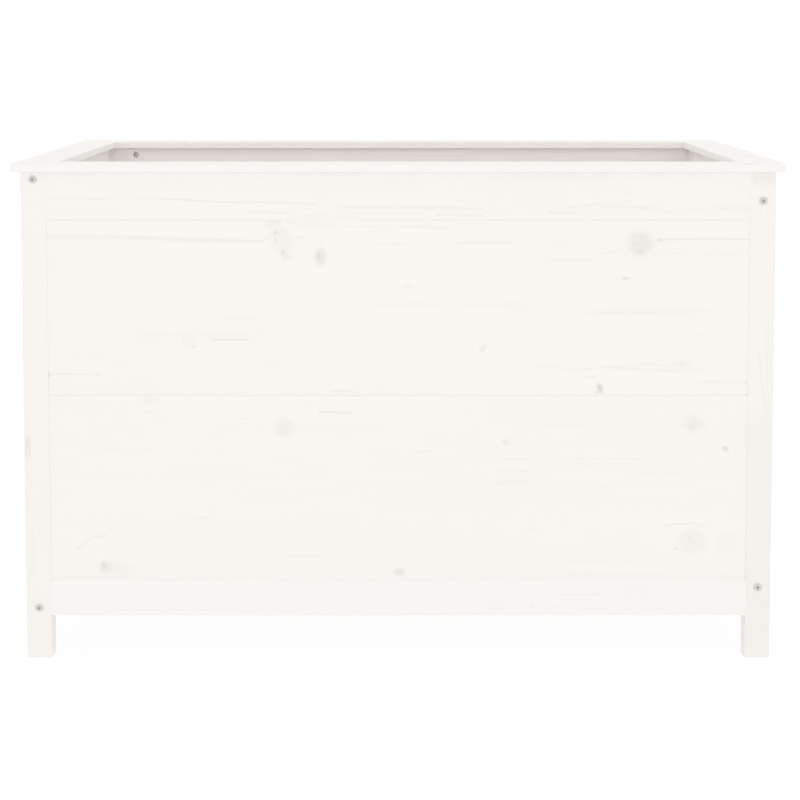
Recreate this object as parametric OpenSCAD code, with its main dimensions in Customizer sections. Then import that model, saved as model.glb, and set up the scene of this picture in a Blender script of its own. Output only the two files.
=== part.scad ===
// Raised garden bed of white-painted pine: four square posts, framed walls of two
// tongued boards each, a mitred rim and a slatted floor, held by bolts and barrel nuts.
// Millimetres. X runs along the bed, the front faces -Y, Z is up, and the origin is on
// the ground below the middle of the bed.

/* [Overall] */
// Length over the rim
bed_l = 1195; // [800:5:2000]
// Depth over the rim, front to rear
bed_d = 825; // [600:5:1400]
// Height from the ground to the top of the rim
bed_h = 780; // [620:5:1000]

/* [Rim] */
// Width of the rim boards
rim_w = 63; // [56:1:90]
// Thickness of the rim boards
rim_t = 13; // [12:0.5:24]
// How far the rim stands out past the posts
rim_overhang = 13; // [5:1:20]
// Radius on the long edges of the rim boards
rim_round = 1.5; // [0.5:0.5:4]

/* [Frame] */
// Side of the square posts, which is also the thickness of the rails
post_w = 39; // [38:1:50]
// Clear height of the feet below the bottom rails
foot_h = 68; // [30:1:150]
// Height of the top rails
top_rail_h = 75; // [72:1:110]
// Height of the bottom rails
bottom_rail_h = 56; // [56:1:100]
// Radius on the long edges of the posts and rails
edge_round = 0.5; // [0.3:0.1:3]

/* [Wall boards] */
// Thickness of the wall boards
board_t = 18; // [14:0.5:20]
// How far the boards lie back from the outer faces of the posts
board_recess = 2; // [1.5:0.5:6]
// Height of the lower board that shows between the bottom rail and the seam
lower_board_h = 293; // [160:1:340]
// How deep the boards sit in the grooves of the rails
rail_groove_d = 5; // [3:0.5:5.5]
// How deep the boards sit in the grooves of the posts
post_groove_d = 8; // [5:0.5:12]
// Thickness of the tongue on the lower board
tongue_t = 6; // [4:0.5:8]
// Height of the tongue on the lower board
tongue_h = 8; // [5:0.5:12]
// Bevel on each side of the seam between the boards
seam_bevel = 1.5; // [0.5:0.25:2.5]
// Play of a board in its grooves, each side
board_play = 0.3; // [0.1:0.1:0.6]

/* [Floor] */
// Gap between the floor slats, which lets water out
slat_gap = 8; // [3:0.5:14]
// Thickness of the floor slats
slat_t = 14; // [12:1:20]
// Gap between a floor slat's end and the rail
slat_end_gap = 0.8; // [0.4:0.1:3]
// Width of the bearers along the rails
bearer_w = 27; // [22:1:40]
// Height of all bearers
bearer_h = 27; // [22:1:32]
// How far the bearers lie above the underside of the bottom rails
bearer_rise = 2; // [0:0.5:6]
// Clear space from the barrel nut holes to the ends of the bearers
bearer_nut_gap = 8; // [4:1:20]
// Width of the middle bearer
middle_bearer_w = 45; // [30:1:70]
// Play of the halved joints, each side
lap_play = 0.3; // [0.1:0.1:0.6]

/* [Bolts and barrel nuts] */
// Thread diameter of the bolts
bolt_d = 6; // [5:0.5:6]
// Length of a bolt under its head
bolt_l = 100; // [95:1:110]
// Diameter of a bolt head
bolt_head_d = 12; // [11:0.5:16]
// Height of a bolt head
bolt_head_h = 2.5; // [2:0.5:5]
// Width of the slope round the top of a bolt head
bolt_head_slope = 1.5; // [0.5:0.25:2]
// Hexagon socket across its flats
socket_w = 4; // [3:0.5:5]
// Depth of the hexagon socket
socket_depth = 2; // [1:0.5:2]
// From a rail's outer edge to the outermost bolts
bolt_edge = 12; // [11:0.5:12.5]
// Height step between the bolts on the two faces of a corner
bolt_step = 33; // [26:1:33]
// Diameter of the barrel nuts
nut_d = 10; // [8:0.5:10]
// Length of the barrel nuts
nut_l = 20; // [14:1:24]
// From a rail's end to the middle of its barrel nuts
nut_inset = 50; // [40:1:52]
// Play around bolts, nuts and dowels, on the radius
hole_play = 0.2; // [0.1:0.05:0.4]
// Space left past the tip of a bolt, dowel or screw in its hole
tip_gap = 2; // [1:0.5:4]

/* [Dowels] */
// Diameter of the wooden dowels
dowel_d = 8; // [6:1:8]
// Length of the dowels between rails and posts
dowel_l = 40; // [30:1:44]
// How deep a rail dowel sits in the post
dowel_in_post = 14; // [10:1:14]
// Height step from the inner bolt to the dowel in a rail's end
dowel_step = 16; // [12:1:17]
// Length of the dowels between rim and rails
rim_dowel_l = 30; // [24:1:34]
// How deep a rim dowel sits in the rim board
rim_dowel_up = 8; // [6:0.5:9]
// From a rail's end to its first rim dowel
rim_dowel_inset = 110; // [100:5:140]
// Number of dowels under each long rim board
long_rim_dowel_count = 4; // [2:1:6]
// Number of dowels under each short rim board
short_rim_dowel_count = 3; // [2:1:4]

/* [Screws] */
// Diameter of the bearer screws
bearer_screw_d = 4.5; // [3.5:0.5:5]
// Length of the bearer screws
bearer_screw_l = 50; // [40:1:58]
// A long bearer has a screw below the second slat and then every so many slats
long_bearer_screw_step = 2; // [2:2:4]
// Number of screws in each short bearer
short_bearer_screw_count = 4; // [2:2:4]
// From a short bearer's end to its first screw, and on to the end slat's screw
bearer_screw_inset = 40; // [20:5:80]
// Diameter of the floor screws
slat_screw_d = 3.5; // [3:0.5:4.5]
// Length of the floor screws
slat_screw_l = 30; // [22:1:32]
// From a slat's edge to the screws at its ends
slat_screw_edge = 20; // [12:1:24]
// Length of the screws in the halved joints
lap_screw_l = 22; // [16:1:24]
// Screw head diameter as a multiple of its thread
screw_head_ratio = 2; // [1.6:0.1:2]

/* [Hidden] */
$fn = 32;
eps = 0.01;
// Number of floor slats
SLATS = 11;

// Each wall is drawn as if it were the front wall, with its left end at -X, and then turned
// into place. A wall's own post is the one at its left end, seen from outside.
WALLS = ["front", "right", "rear", "left"];
function turn(wall) = wall == "front" ? 0 : wall == "right" ? 90 : wall == "rear" ? 180 : 270;
function is_long(wall) = wall == "front" || wall == "rear";
function span(wall) = is_long(wall) ? bed_l : bed_d;
function reach(wall) = is_long(wall) ? bed_d : bed_l;

// Levels
rim_z = bed_h - rim_t;
top_rail_z = rim_z - top_rail_h;
bottom_rail_top = foot_h + bottom_rail_h;
seam_z = bottom_rail_top + lower_board_h;
bearer_z = foot_h + bearer_rise;
slat_z = bearer_z + bearer_h;
// Heights of the outer and the inner bolt in a top rail and in a bottom rail
top_bolts = [rim_z - bolt_edge, rim_z - bolt_edge - bolt_step];
bottom_bolts = [foot_h + bolt_edge, foot_h + bolt_edge + bolt_step];
// A dowel lies beside the inner bolt of a top rail, and between the bolts of a bottom rail
top_dowel_z = top_bolts[1] - dowel_step;
bottom_dowel_z = bottom_bolts[1] - dowel_step;

// Plan sizes of a wall, in its own frame
function face_y(wall) = rim_overhang - reach(wall) / 2;
function inner_y(wall) = face_y(wall) + post_w;
function bolt_y(wall) = face_y(wall) + post_w / 2;
function rail_half(wall) = span(wall) / 2 - rim_overhang - post_w;
function bolt_x(wall) = rail_half(wall) + post_w / 2;
// So many places, evenly spaced from -half to +half
function spread(half, count) = [for (i = [0:count - 1]) -half + 2 * half * i / (count - 1)];
function rim_dowel_xs(wall) = spread(rail_half(wall) - rim_dowel_inset,
  is_long(wall) ? long_rim_dowel_count : short_rim_dowel_count);

// Holes
bolt_hole_r = bolt_d / 2 + hole_play;
nut_hole_r = nut_d / 2 + hole_play;
dowel_hole_r = dowel_d / 2 + hole_play;
// How deep a bolt's hole runs into the rail's end, and how deep a nut's hole runs
bolt_hole_in = bolt_l - post_w + tip_gap;
nut_hole_in = post_w / 2 + nut_l / 2;

// Floor
inner_l = 2 * rail_half("front");
inner_d = 2 * rail_half("right");
slat_w = (inner_l - (SLATS + 1) * slat_gap) / SLATS;
slat_pitch = slat_w + slat_gap;
function slat_x(i) = -inner_l / 2 + slat_pitch / 2 + slat_gap / 2 + i * slat_pitch;
slat_l = inner_d - 2 * slat_end_gap;
bearer_end_in = nut_inset + nut_hole_r + bearer_nut_gap;
function bearer_half(wall) = rail_half(wall) - bearer_end_in;
bearer_mid_z = bearer_z + bearer_h / 2;
// A long bearer's screws pass between the two floor screws at a slat's end
function bearer_screw_xs(wall) = is_long(wall)
  ? [for (i = [1:long_bearer_screw_step:SLATS - 2]) slat_x(i)]
  : spread(bearer_half(wall) - bearer_screw_inset, short_bearer_screw_count);
// Each slat has a screw into the middle bearer. An end slat has one more at each end, into
// the short bearer below it, and the others have two at each end, into the long bearers.
slat_screw_x = slat_w / 2 - slat_screw_edge;
slat_screw_y = inner_d / 2 - bearer_w / 2;
end_screw_x = inner_l / 2 - (slat_gap + bearer_w) / 2;
end_screw_y = bearer_half("right") - 2 * bearer_screw_inset;
function slat_screw_points(i) = concat([[slat_x(i), 0]],
  i == 0 || i == SLATS - 1
    ? [for (s = [-1, 1]) [sign(slat_x(i)) * end_screw_x, s * end_screw_y]]
    : [for (s = [-1, 1], e = [-1, 1]) [slat_x(i) + e * slat_screw_x, s * slat_screw_y]]);
lap_half_h = bearer_h / 2;
lap_screw_x = inner_l / 2 - bearer_w / 2;

paint = [0.965, 0.949, 0.933];
thin_paint = [0.93, 0.905, 0.865];
zinc = [0.72, 0.73, 0.74];
beech = [0.80, 0.66, 0.48];

// Turns a piece drawn for the front wall into its own wall's place
module on_wall(wall) {
  rotate([0, 0, turn(wall)]) children();
}

// A rectangle with round corners, its lower left corner at the origin
module round_rect(w, h, r) {
  translate([r, 0]) square([w - 2 * r, h]);
  translate([0, r]) square([w, h - 2 * r]);
  for (x = [r, w - r], y = [r, h - r]) translate([x, y]) circle(r = r);
}

// Extrudes a profile drawn as (depth, height) along X, from -half to +half
module along_x(half) {
  translate([-half, 0, 0]) rotate([90, 0, 90]) linear_extrude(2 * half) children();
}

// A round pin or bore along Y, X or Z from a point
module rod_y(at, r, l) {
  translate(at) rotate([-90, 0, 0]) cylinder(r = r, h = l);
}
module rod_x(at, r, l) {
  translate(at) rotate([0, 90, 0]) cylinder(r = r, h = l);
}
module rod_z(at, r, l) {
  translate(at) cylinder(r = r, h = l);
}

// A screw that points down from its flush head at the origin
module screw(d, l, play = 0, tip = 0) {
  head_r = d * screw_head_ratio / 2 + play;
  shank_r = d / 2 + play;
  head_h = head_r - shank_r;
  translate([0, 0, -head_h]) cylinder(r1 = shank_r, r2 = head_r, h = head_h);
  translate([0, 0, -l - tip]) cylinder(r = shank_r, h = l + tip);
}

// A square post with round edges, a groove for the boards of each wall and holes for the
// bolts that pass through it and the dowels that end in it
module post(wall) {
  groove_w = board_t + 2 * board_play;
  groove_z = bottom_rail_top - rail_groove_d;
  groove_h = top_rail_z + rail_groove_d - groove_z;
  color(paint) on_wall(wall)
    translate([rim_overhang - span(wall) / 2, face_y(wall), 0]) difference() {
      linear_extrude(rim_z) round_rect(post_w, post_w, edge_round);
      // Groove for the boards of its own wall, then for those of the wall before it
      translate([post_w - post_groove_d, board_recess - board_play, groove_z])
        cube([post_groove_d + eps, groove_w, groove_h]);
      translate([board_recess - board_play, post_w - post_groove_d, groove_z])
        cube([groove_w, post_groove_d + eps, groove_h]);
      // Bolts seen on its own wall's face, then those seen on the wall before it
      for (z = [top_bolts[0], bottom_bolts[0]])
        rod_y([post_w / 2, -eps, z], bolt_hole_r, post_w + 2 * eps);
      for (z = [top_bolts[1], bottom_bolts[1]])
        rod_x([-eps, post_w / 2, z], bolt_hole_r, post_w + 2 * eps);
      // Dowels
      for (z = [top_dowel_z, bottom_dowel_z]) {
        rod_x([post_w - dowel_in_post, post_w / 2, z], dowel_hole_r, dowel_in_post + eps);
        rod_y([post_w / 2, post_w - dowel_in_post, z], dowel_hole_r, dowel_in_post + eps);
      }
    }
}

// Bolt, barrel nut and dowel holes in the two ends of a rail. Its left end takes the inner
// bolt and its right end the outer one.
module rail_end_holes(wall, bolts, dowel_z) {
  for (e = [-1, 1]) {
    z = e < 0 ? bolts[1] : bolts[0];
    end_x = e * rail_half(wall);
    in_x = e * (rail_half(wall) - bolt_hole_in);
    rod_x([min(end_x, in_x) - (e < 0 ? eps : 0), bolt_y(wall), z], bolt_hole_r, bolt_hole_in + eps);
    nut_x = e * (rail_half(wall) - nut_inset);
    rod_y([nut_x, inner_y(wall) - nut_hole_in, z], nut_hole_r, nut_hole_in + eps);
    dowel_in = dowel_l - dowel_in_post;
    dowel_x = e * (rail_half(wall) - dowel_in);
    rod_x([min(end_x, dowel_x) - (e < 0 ? eps : 0), bolt_y(wall), dowel_z], dowel_hole_r, dowel_in + eps);
  }
}

module top_rail(wall) {
  color(paint) on_wall(wall) difference() {
    along_x(rail_half(wall)) translate([face_y(wall), top_rail_z]) difference() {
      round_rect(post_w, top_rail_h, edge_round);
      translate([board_recess - board_play, -eps])
        square([board_t + 2 * board_play, rail_groove_d + board_play + eps]);
    }
    rail_end_holes(wall, top_bolts, top_dowel_z);
    for (x = rim_dowel_xs(wall))
      rod_z([x, bolt_y(wall), rim_z - rim_dowel_l + rim_dowel_up], dowel_hole_r, rim_dowel_l);
  }
}

module bottom_rail(wall) {
  color(paint) on_wall(wall) difference() {
    along_x(rail_half(wall)) translate([face_y(wall), foot_h]) difference() {
      round_rect(post_w, bottom_rail_h, edge_round);
      translate([board_recess - board_play, bottom_rail_h - rail_groove_d])
        square([board_t + 2 * board_play, rail_groove_d + eps]);
    }
    rail_end_holes(wall, bottom_bolts, bottom_dowel_z);
    for (x = bearer_screw_xs(wall)) at_bearer_screw(wall, x)
      screw(bearer_screw_d, bearer_screw_l, hole_play, tip_gap);
  }
}

// The lower board stands in the bottom rail's groove and carries a tongue on its top edge
module lower_board(wall) {
  half = rail_half(wall) + post_groove_d - board_play;
  h = lower_board_h + rail_groove_d;
  color(paint) on_wall(wall) along_x(half)
    translate([face_y(wall) + board_recess, bottom_rail_top - rail_groove_d]) union() {
      polygon([[0, 0], [board_t, 0], [board_t, h - seam_bevel], [board_t - seam_bevel, h],
        [seam_bevel, h], [0, h - seam_bevel]]);
      translate([(board_t - tongue_t) / 2, h - eps]) square([tongue_t, tongue_h + eps]);
    }
}

// The upper board sits on the lower board's tongue and ends in the top rail's groove
module upper_board(wall) {
  half = rail_half(wall) + post_groove_d - board_play;
  h = top_rail_z + rail_groove_d - seam_z;
  color(paint) on_wall(wall) along_x(half)
    translate([face_y(wall) + board_recess, seam_z]) difference() {
      polygon([[seam_bevel, 0], [board_t - seam_bevel, 0], [board_t, seam_bevel],
        [board_t, h], [0, h], [0, seam_bevel]]);
      translate([(board_t - tongue_t) / 2 - board_play, -eps])
        square([tongue_t + 2 * board_play, tongue_h + board_play + eps]);
    }
}

// A rim board, mitred at both ends, with blind holes for its dowels
module rim_board(wall) {
  half = span(wall) / 2;
  out_y = -reach(wall) / 2;
  color(paint) on_wall(wall) difference() {
    intersection() {
      along_x(half) translate([out_y, rim_z]) round_rect(rim_w, rim_t, rim_round);
      translate([0, out_y, rim_z]) linear_extrude(rim_t)
        polygon([[-half, 0], [half, 0], [half - rim_w, rim_w], [rim_w - half, rim_w]]);
    }
    for (x = rim_dowel_xs(wall)) rod_z([x, bolt_y(wall), rim_z - eps], dowel_hole_r, rim_dowel_up + eps);
  }
}

// Puts a child screw on the inner face of a bearer, pointing out into the rail
module at_bearer_screw(wall, x) {
  translate([x, inner_y(wall) + bearer_w, bearer_mid_z]) rotate([-90, 0, 0]) children();
}

// Puts a child screw on the top of the bearers
module at_lap_screws() {
  for (e = [-1, 1]) translate([e * lap_screw_x, 0, slat_z]) children();
}

// Holes of all floor screws that land on the bearers
module floor_screw_holes() {
  for (i = [0:SLATS - 1], p = slat_screw_points(i)) translate([p[0], p[1], slat_z + slat_t])
    screw(slat_screw_d, slat_screw_l, hole_play, tip_gap);
}

// A bearer along the inner face of a bottom rail. The short ones are halved for the middle
// bearer.
module bearer(wall) {
  half = bearer_half(wall);
  notch_w = middle_bearer_w + 2 * lap_play;
  color(thin_paint) difference() {
    on_wall(wall) difference() {
      translate([-half, inner_y(wall), bearer_z]) cube([2 * half, bearer_w, bearer_h]);
      for (x = bearer_screw_xs(wall)) at_bearer_screw(wall, x)
        screw(bearer_screw_d, bearer_screw_l, hole_play);
      if (!is_long(wall)) translate([-notch_w / 2, inner_y(wall) - eps, bearer_z + lap_half_h])
        cube([notch_w, bearer_w + 2 * eps, lap_half_h + eps]);
    }
    floor_screw_holes();
    if (!is_long(wall)) at_lap_screws() screw(slat_screw_d, lap_screw_l, hole_play, tip_gap);
  }
}

// The middle bearer runs the length of the bed and laps onto the short bearers
module bearer_middle() {
  half = inner_l / 2 - lap_play;
  lap_l = bearer_w + lap_play;
  color(thin_paint) difference() {
    translate([-half, -middle_bearer_w / 2, bearer_z])
      cube([2 * half, middle_bearer_w, bearer_h]);
    for (x = [-inner_l / 2, inner_l / 2 - lap_l])
      translate([x, -middle_bearer_w / 2 - eps, bearer_z - eps])
        cube([lap_l, middle_bearer_w + 2 * eps, lap_half_h + eps]);
    floor_screw_holes();
    at_lap_screws() screw(slat_screw_d, lap_screw_l, hole_play, tip_gap);
  }
}

module floor_slat(i) {
  color(thin_paint) difference() {
    translate([slat_x(i) - slat_w / 2, -slat_l / 2, slat_z]) cube([slat_w, slat_l, slat_t]);
    for (p = slat_screw_points(i)) translate([p[0], p[1], slat_z + slat_t])
      screw(slat_screw_d, slat_screw_l, hole_play);
  }
}

// A bolt seen on a wall's face: a low head whose upper half slopes in, with a hexagon
// socket, and its shank
module bolt() {
  rise = bolt_head_h / 2;
  difference() {
    union() {
      translate([0, 0, -bolt_l]) cylinder(d = bolt_d, h = bolt_l + eps);
      cylinder(d = bolt_head_d, h = rise);
      translate([0, 0, rise]) cylinder(d1 = bolt_head_d, d2 = bolt_head_d - 2 * bolt_head_slope, h = rise);
    }
    translate([0, 0, bolt_head_h - socket_depth])
      cylinder(d = socket_w / cos(30), h = socket_depth + eps, $fn = 6);
  }
}

// On each face the left bolt is the outer one and the right bolt the inner one
module rail_bolts(bolts) {
  color(zinc) for (wall = WALLS) on_wall(wall) {
    for (e = [-1, 1]) translate([e * bolt_x(wall), face_y(wall), e < 0 ? bolts[0] : bolts[1]])
      rotate([90, 0, 0]) bolt();
  }
}

// Barrel nuts lie across the rails, threaded through their middle
module barrel_nuts(bolts) {
  color(zinc) for (wall = WALLS) on_wall(wall) for (e = [-1, 1]) {
    z = e < 0 ? bolts[1] : bolts[0];
    x = e * (rail_half(wall) - nut_inset);
    difference() {
      rod_y([x, bolt_y(wall) - nut_l / 2, z], nut_d / 2, nut_l);
      rod_x([x - nut_d, bolt_y(wall), z], bolt_hole_r, 2 * nut_d);
    }
  }
}

module rail_dowels(z) {
  color(beech) for (wall = WALLS) on_wall(wall) for (e = [-1, 1]) {
    mid = e * (rail_half(wall) + dowel_in_post - dowel_l / 2);
    rod_x([mid - dowel_l / 2, bolt_y(wall), z], dowel_d / 2, dowel_l);
  }
}

module rim_dowels() {
  color(beech) for (wall = WALLS) on_wall(wall) for (x = rim_dowel_xs(wall))
    rod_z([x, bolt_y(wall), rim_z - rim_dowel_l + rim_dowel_up], dowel_d / 2, rim_dowel_l);
}

module bearer_screws() {
  color(zinc) {
    for (wall = WALLS) on_wall(wall) for (x = bearer_screw_xs(wall)) at_bearer_screw(wall, x)
      screw(bearer_screw_d, bearer_screw_l);
    at_lap_screws() screw(slat_screw_d, lap_screw_l);
  }
}

module floor_screws() {
  color(zinc) for (i = [0:SLATS - 1], p = slat_screw_points(i))
    translate([p[0], p[1], slat_z + slat_t]) screw(slat_screw_d, slat_screw_l);
}

post("front");  // post_front_left
post("right");  // post_front_right
post("rear");  // post_rear_right
post("left");  // post_rear_left
top_rail("front");  // top_rail_front
top_rail("right");  // top_rail_right
top_rail("rear");  // top_rail_rear
top_rail("left");  // top_rail_left
bottom_rail("front");  // bottom_rail_front
bottom_rail("right");  // bottom_rail_right
bottom_rail("rear");  // bottom_rail_rear
bottom_rail("left");  // bottom_rail_left
upper_board("front");  // upper_board_front
upper_board("right");  // upper_board_right
upper_board("rear");  // upper_board_rear
upper_board("left");  // upper_board_left
lower_board("front");  // lower_board_front
lower_board("right");  // lower_board_right
lower_board("rear");  // lower_board_rear
lower_board("left");  // lower_board_left
rim_board("front");  // rim_front
rim_board("right");  // rim_right
rim_board("rear");  // rim_rear
rim_board("left");  // rim_left
bearer("front");  // bearer_front
bearer("right");  // bearer_right
bearer("rear");  // bearer_rear
bearer("left");  // bearer_left
bearer_middle();
floor_slat(0);  // floor_slat_1
floor_slat(1);  // floor_slat_2
floor_slat(2);  // floor_slat_3
floor_slat(3);  // floor_slat_4
floor_slat(4);  // floor_slat_5
floor_slat(5);  // floor_slat_6
floor_slat(6);  // floor_slat_7
floor_slat(7);  // floor_slat_8
floor_slat(8);  // floor_slat_9
floor_slat(9);  // floor_slat_10
floor_slat(10);  // floor_slat_11
rail_bolts(top_bolts);  // top_rail_bolts
rail_bolts(bottom_bolts);  // bottom_rail_bolts
barrel_nuts(top_bolts);  // top_barrel_nuts
barrel_nuts(bottom_bolts);  // bottom_barrel_nuts
rail_dowels(top_dowel_z);  // top_rail_dowels
rail_dowels(bottom_dowel_z);  // bottom_rail_dowels
rim_dowels();
bearer_screws();
floor_screws();
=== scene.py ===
import math
import random

import bpy
from mathutils import Matrix, Vector


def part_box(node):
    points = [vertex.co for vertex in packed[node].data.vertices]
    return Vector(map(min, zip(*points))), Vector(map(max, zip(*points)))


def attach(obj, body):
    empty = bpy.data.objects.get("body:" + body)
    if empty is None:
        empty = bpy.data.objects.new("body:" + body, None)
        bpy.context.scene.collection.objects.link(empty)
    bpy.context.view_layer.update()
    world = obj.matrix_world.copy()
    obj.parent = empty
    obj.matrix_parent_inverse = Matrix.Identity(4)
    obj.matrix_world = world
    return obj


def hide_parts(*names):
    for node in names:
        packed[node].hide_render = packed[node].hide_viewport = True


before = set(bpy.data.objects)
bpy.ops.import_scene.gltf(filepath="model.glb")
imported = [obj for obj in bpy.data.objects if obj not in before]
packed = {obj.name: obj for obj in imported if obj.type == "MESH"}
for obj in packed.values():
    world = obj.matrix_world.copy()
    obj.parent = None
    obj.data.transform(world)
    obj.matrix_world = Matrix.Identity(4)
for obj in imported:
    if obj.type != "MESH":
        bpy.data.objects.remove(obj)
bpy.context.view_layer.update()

# Posts. Four squared lengths of planed pine, which stand on the ground as the feet. They were
# painted white before the bed was put together, in one thin coat, so that the knots and the
# darker grain show through it faintly.
MM = 0.001
PAINT = (0.945, 0.910, 0.878, 1.0)
PAINT_ON_KNOT = (0.640, 0.610, 0.580, 1.0)
# The white of the painted light, laid where shade falls along joints, under the rim and inside
PAINTED_LIGHT_WHITE = (0.985, 0.968, 0.948, 1.0)


def add(tree, kind, feeds=None, **settings):
    """Adds a shader node with its settings and with what feeds its inputs."""
    node = tree.nodes.new("ShaderNode" + kind)
    for name, value in settings.items():
        setattr(node, name, value)
    for key, value in (feeds or {}).items():
        if isinstance(value, bpy.types.NodeSocket):
            tree.links.new(value, node.inputs[key])
        else:
            node.inputs[key].default_value = value
    return node


def calc(tree, operation, *values, clamp=False):
    node = add(tree, "Math", dict(enumerate(values)), operation=operation, use_clamp=clamp)
    return node.outputs[0]


def vector(tree, operation, *values):
    node = add(tree, "VectorMath", dict(enumerate(values)), operation=operation)
    return node.outputs["Value" if operation in ("LENGTH", "DOT_PRODUCT") else "Vector"]


def scaled(tree, place, share):
    return add(tree, "VectorMath", {0: place, "Scale": share}, operation="SCALE").outputs[0]


def soft_step(tree, value, start, end, low=0.0, high=1.0):
    """Goes softly from low, where value is start, to high, where it is end."""
    return add(tree, "MapRange", {
        "Value": value, "From Min": start, "From Max": end, "To Min": low, "To Max": high},
        interpolation_type="SMOOTHSTEP").outputs[0]


def cloud(tree, place, per_metre, detail=2.0, rough=0.5, output="Fac"):
    """Noise with so many grains to the metre along, across and through the wood."""
    return add(tree, "TexNoise", {
        "Vector": vector(tree, "MULTIPLY", place, per_metre), "Scale": 1.0, "Detail": detail,
        "Roughness": rough}).outputs[output]


def blend(tree, share, first, second):
    return add(tree, "Mix", {0: share, 6: first, 7: second}, data_type="RGBA").outputs[2]


def group(name, inputs, outputs):
    """Starts a node group: its tree, its inputs by name, and a way to feed its outputs."""
    tree = bpy.data.node_groups.new(name, "ShaderNodeTree")
    kinds = {"number": "NodeSocketFloat", "vector": "NodeSocketVector",
             "colour": "NodeSocketColor"}
    for side, sockets in (("INPUT", inputs), ("OUTPUT", outputs)):
        for kind, labels in sockets.items():
            for label in labels:
                tree.interface.new_socket(label, in_out=side, socket_type=kinds[kind])
    into = tree.nodes.new("NodeGroupInput").outputs
    out = tree.nodes.new("NodeGroupOutput").inputs
    return tree, into, lambda label, socket: tree.links.new(socket, out[label])


def use(tree, made, feeds):
    """Places a node group and gives its outputs."""
    return add(tree, "Group", feeds, node_tree=made).outputs


# A knot: a soft oval that darkens the tone and pushes the growth rings aside. How far out a
# point is counts in half sizes of the knot.
KNOT_OUTER, PUSH_FALLS_TO = 1.12, 0.82
KNOT_RINGS, KNOT_RING_DEPTH = 13.0, 0.07
knot_in_pine, at, give = group(
    "knot in pine",
    {"vector": ("Lay", "Place", "Half Size"),
     "number": ("Turn", "Core", "Dark", "Push", "Tone", "Field")},
    {"number": ("Tone", "Field")})
t = knot_in_pine
turned = add(t, "VectorRotate", {"Vector": vector(t, "SUBTRACT", at["Lay"], at["Place"]),
                                 "Angle": at["Turn"]}, rotation_type="Z_AXIS").outputs[0]
far = vector(t, "LENGTH", vector(t, "DIVIDE", turned, at["Half Size"]))
wave = calc(t, "SINE", calc(t, "MULTIPLY", far, KNOT_RINGS))
own_rings = calc(t, "MULTIPLY_ADD", wave, KNOT_RING_DEPTH, 1.0 - KNOT_RING_DEPTH)
oval = soft_step(t, far, KNOT_OUTER, at["Core"])
body = calc(t, "MULTIPLY", oval, calc(t, "MULTIPLY", at["Dark"], own_rings))
give("Tone", calc(t, "MAXIMUM", at["Tone"], body))
fall = calc(t, "POWER", PUSH_FALLS_TO, calc(t, "MULTIPLY", far, far))
give("Field", calc(t, "MULTIPLY_ADD", fall, at["Push"], at["Field"]))

# A streak of dark grain or resin, with an even width from one end to the other. Its edge runs
# out softly between these two shares of the half width.
STREAK_OUTER, STREAK_CORE = 1.5, 0.35
streak_in_pine, at, give = group(
    "streak in pine",
    {"vector": ("Lay", "From", "To"), "number": ("Half Width", "Dark", "Tone")},
    {"number": ("Tone",)})
t = streak_in_pine
run = vector(t, "SUBTRACT", at["To"], at["From"])
gone = vector(t, "SUBTRACT", at["Lay"], at["From"])
gone_along = vector(t, "DOT_PRODUCT", gone, run)
share = calc(t, "DIVIDE", gone_along, vector(t, "DOT_PRODUCT", run, run), clamp=True)
off = vector(t, "LENGTH", vector(t, "SUBTRACT", gone, scaled(t, run, share)))
outer = calc(t, "MULTIPLY", at["Half Width"], STREAK_OUTER)
inside = soft_step(t, off, outer, calc(t, "MULTIPLY", at["Half Width"], STREAK_CORE))
give("Tone", calc(t, "MAXIMUM", at["Tone"], calc(t, "MULTIPLY", inside, at["Dark"])))

# The figure of sawn pine: growth rings about a pith that wanders a little, and fine fibres.
# A ring runs from 0 to 1, and its late wood is the darker part.
RINGS_PER_METRE, PITH_WANDERS, RING_RAGGED = 190.0, 9.0, 0.45
LATE_FROM, LATE_FULL, LATE_TO = 0.3, 0.9, 0.92
GRAIN_FAINT, GRAIN_CLEAR = 0.44, 0.74
pine_figure, at, give = group(
    "pine figure", {"vector": ("Lay", "Pith"), "number": ("Field",)},
    {"number": ("Grain", "Fibre", "Cloudy")})
t = pine_figure
wander = cloud(t, at["Lay"], (0.9, 4.0, 4.0), 1.0)
from_pith = vector(t, "MULTIPLY", vector(t, "SUBTRACT", at["Lay"], at["Pith"]), (0.0, 1.0, 1.0))
rings = calc(t, "MULTIPLY", vector(t, "LENGTH", from_pith), RINGS_PER_METRE)
rings = calc(t, "MULTIPLY_ADD", wander, PITH_WANDERS, calc(t, "ADD", rings, at["Field"]))
ragged = cloud(t, at["Lay"], (6.0, 130.0, 130.0))
ring = calc(t, "FRACT", calc(t, "MULTIPLY_ADD", ragged, RING_RAGGED, rings))
late = soft_step(t, ring, LATE_FROM, LATE_FULL)
late = calc(t, "MULTIPLY", late, soft_step(t, ring, 1.0, LATE_TO))
shows = soft_step(t, cloud(t, at["Lay"], (2.2, 24.0, 24.0), 2.0), GRAIN_FAINT, GRAIN_CLEAR)
give("Grain", calc(t, "MULTIPLY", late, shows))
give("Fibre", cloud(t, at["Lay"], (26.0, 1300.0, 1300.0), 3.0, 0.6))
give("Cloudy", cloud(t, at["Lay"], (2.0, 12.0, 12.0), 3.0, 0.55))

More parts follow.
